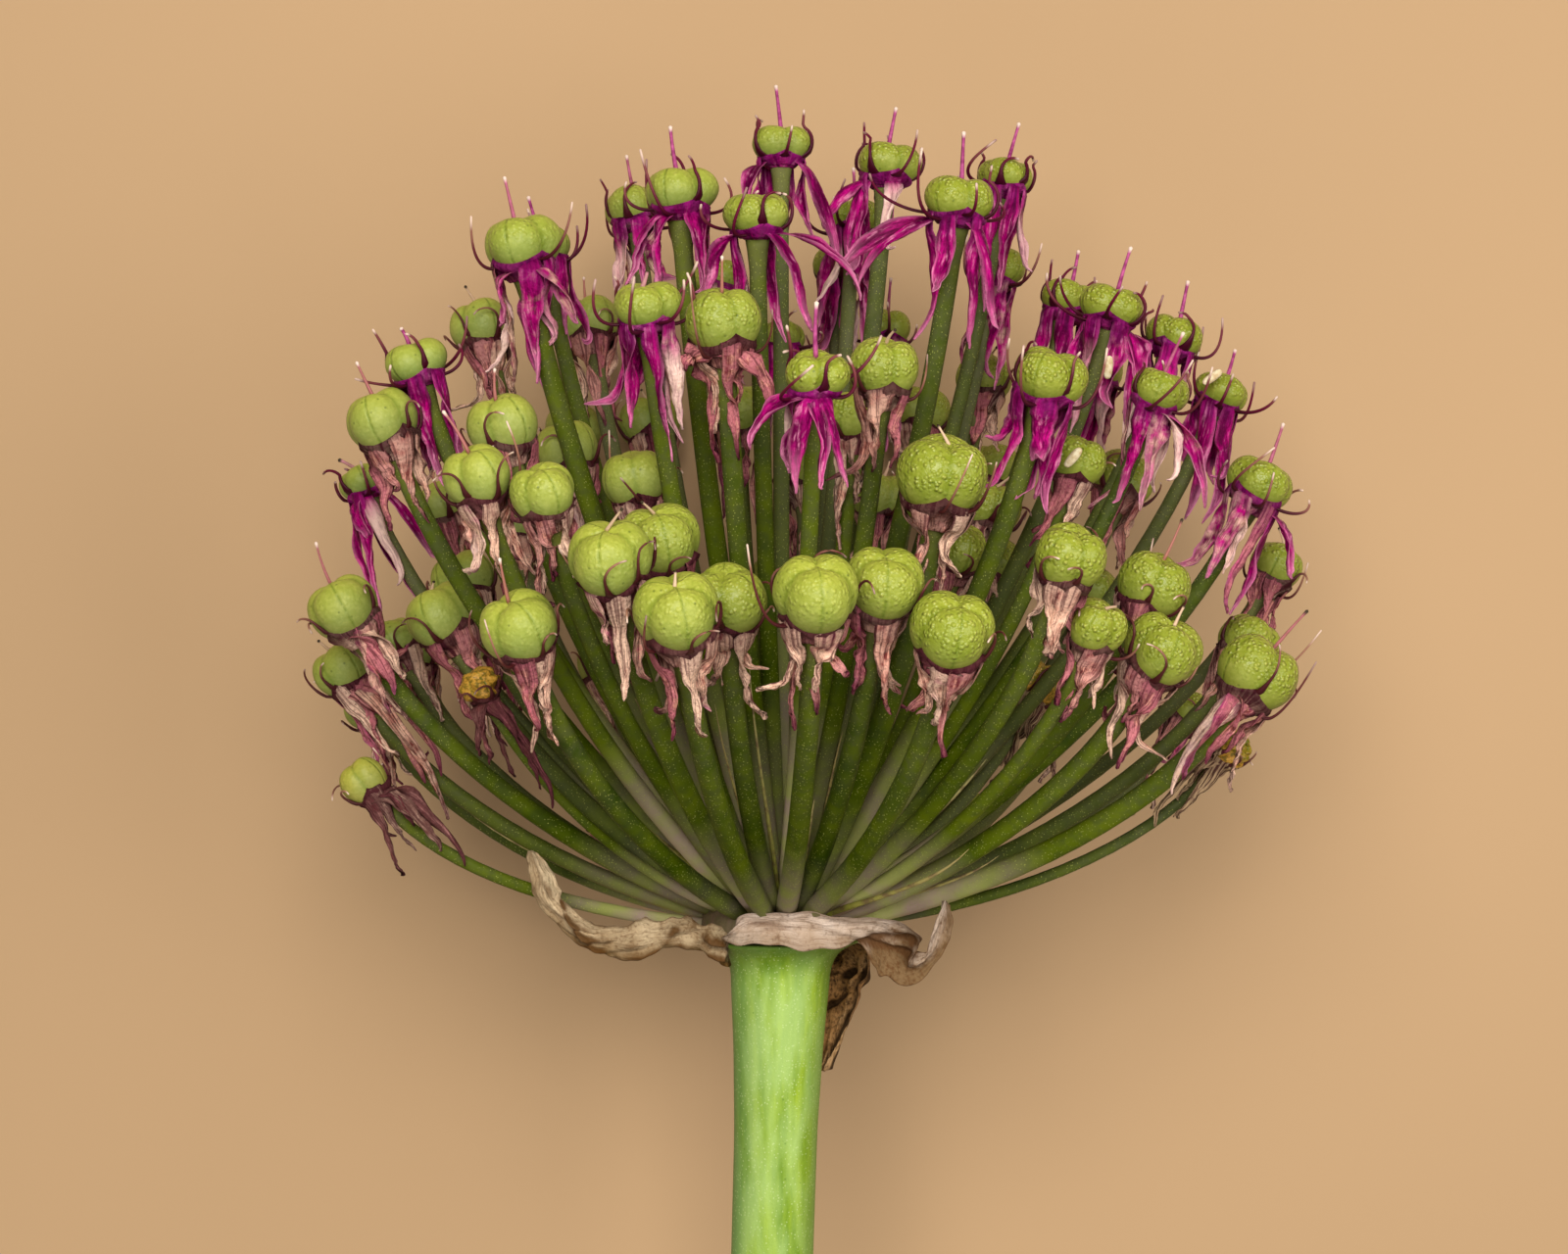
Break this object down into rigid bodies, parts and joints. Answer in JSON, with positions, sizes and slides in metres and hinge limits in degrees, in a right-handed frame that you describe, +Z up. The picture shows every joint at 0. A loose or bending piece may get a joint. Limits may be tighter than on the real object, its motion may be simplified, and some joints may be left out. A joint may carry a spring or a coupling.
{
  "type": "giant allium flower head",
  "caption": "Round allium head going to seed on a short cut stalk, lying on its side: green capsules on radiating stems, withered petals and a papery bract.",
  "frame": {"origin": "on the surface that the head lies on, under the middle of its outline", "axes": "+Z up from the surface, +Y along the stalk towards the head's crown, +X across the head"},
  "size_m": [0.106, 0.1238, 0.0955],
  "materials": {
    "stalk": "smooth green stalk with a pale waxy bloom and fine speckles",
    "florets": "green capsules, dark green flower stems, magenta to brown withered petals and maroon filaments",
    "bract": "dry papery bract, beige with brown veins",
    "bract_dry": "dry papery bract, darker brown"
  },
  "bodies": {
    "root": {"scape": "stalk", "umbel": "florets", "spathe_left": "bract", "spathe_front": "bract", "spathe_back": "bract_dry"}
  },
  "joints": []
}
